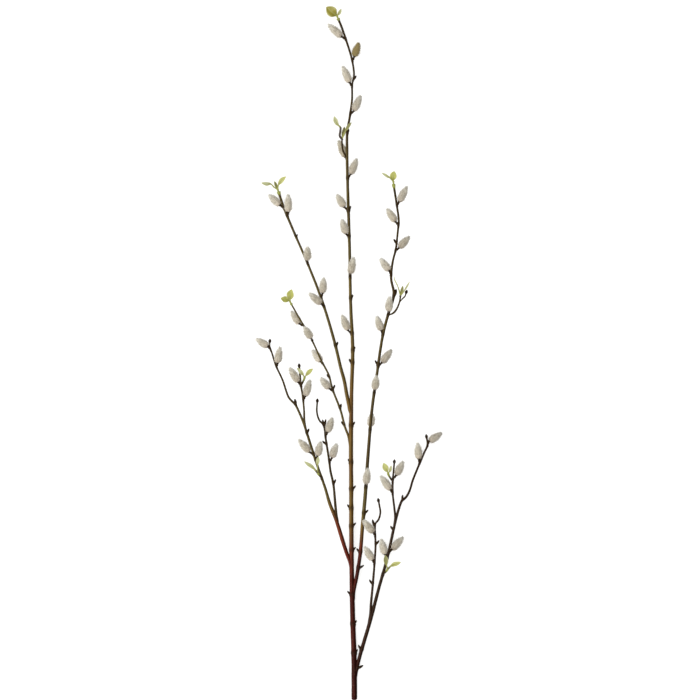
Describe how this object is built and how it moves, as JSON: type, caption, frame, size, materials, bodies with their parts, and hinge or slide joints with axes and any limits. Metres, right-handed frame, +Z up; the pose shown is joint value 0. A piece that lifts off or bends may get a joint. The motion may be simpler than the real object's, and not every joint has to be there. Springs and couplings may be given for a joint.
{
  "type": "willow twig",
  "caption": "Cut pussy willow twig lying on a surface: thin forked brown branches with buds, soft grey catkins on short stalks and small young leaves.",
  "frame": {"origin": "on the surface the twig lies on, under the middle of its bounding box", "axes": "+Y from the cut end to the tip, +X to the right as the picture shows the twig, +Z up"},
  "size_m": [0.2672, 0.9977, 0.0669],
  "materials": {
    "bark": "satin",
    "catkin": "furry",
    "leaf": "satin"
  },
  "bodies": {
    "root": {"main_stem": "bark", "left_upper_branch": "bark", "left_lower_branch": "bark", "right_branch": "bark", "right_lower_branch": "bark", "stem_catkin_01": "catkin", "stem_catkin_02": "catkin", "stem_catkin_03": "catkin", "stem_catkin_04": "catkin", "stem_catkin_05": "catkin", "stem_catkin_06": "catkin", "stem_catkin_07": "catkin", "stem_catkin_08": "catkin", "stem_catkin_09": "catkin", "stem_catkin_10": "catkin", "left_upper_catkin_1": "catkin", "left_upper_catkin_2": "catkin", "left_upper_catkin_3": "catkin", "left_upper_catkin_4": "catkin", "left_upper_catkin_5": "catkin", "left_middle_catkin_1": "catkin", "left_middle_catkin_2": "catkin", "left_middle_catkin_3": "catkin", "left_middle_catkin_4": "catkin", "left_lower_catkin_1": "catkin", "left_lower_catkin_2": "catkin", "left_lower_catkin_3": "catkin", "left_lower_catkin_4": "catkin", "left_lower_catkin_5": "catkin", "left_lower_catkin_6": "catkin", "left_lower_catkin_7": "catkin", "left_lower_catkin_8": "catkin", "right_catkin_01": "catkin", "right_catkin_02": "catkin", "right_catkin_03": "catkin", "right_catkin_04": "catkin", "right_catkin_05": "catkin", "right_catkin_06": "catkin", "right_catkin_07": "catkin", "right_catkin_08": "catkin", "right_catkin_09": "catkin", "right_catkin_10": "catkin", "right_lower_catkin_1": "catkin", "right_lower_catkin_2": "catkin", "right_lower_catkin_3": "catkin", "right_lower_catkin_4": "catkin", "right_lower_catkin_5": "catkin", "right_lower_catkin_6": "catkin", "right_lower_catkin_7": "catkin", "right_lower_catkin_8": "catkin", "stem_tip_leaves": "leaf", "stem_side_leaves": "leaf", "left_upper_leaves": "leaf", "left_middle_leaves": "leaf", "left_lower_fork_leaves": "leaf", "left_lower_arm_leaves": "leaf", "right_tip_leaves": "leaf", "right_side_leaves": "leaf", "right_lower_fork_leaves": "leaf", "right_lower_arm_leaves": "leaf"}
  },
  "joints": []
}
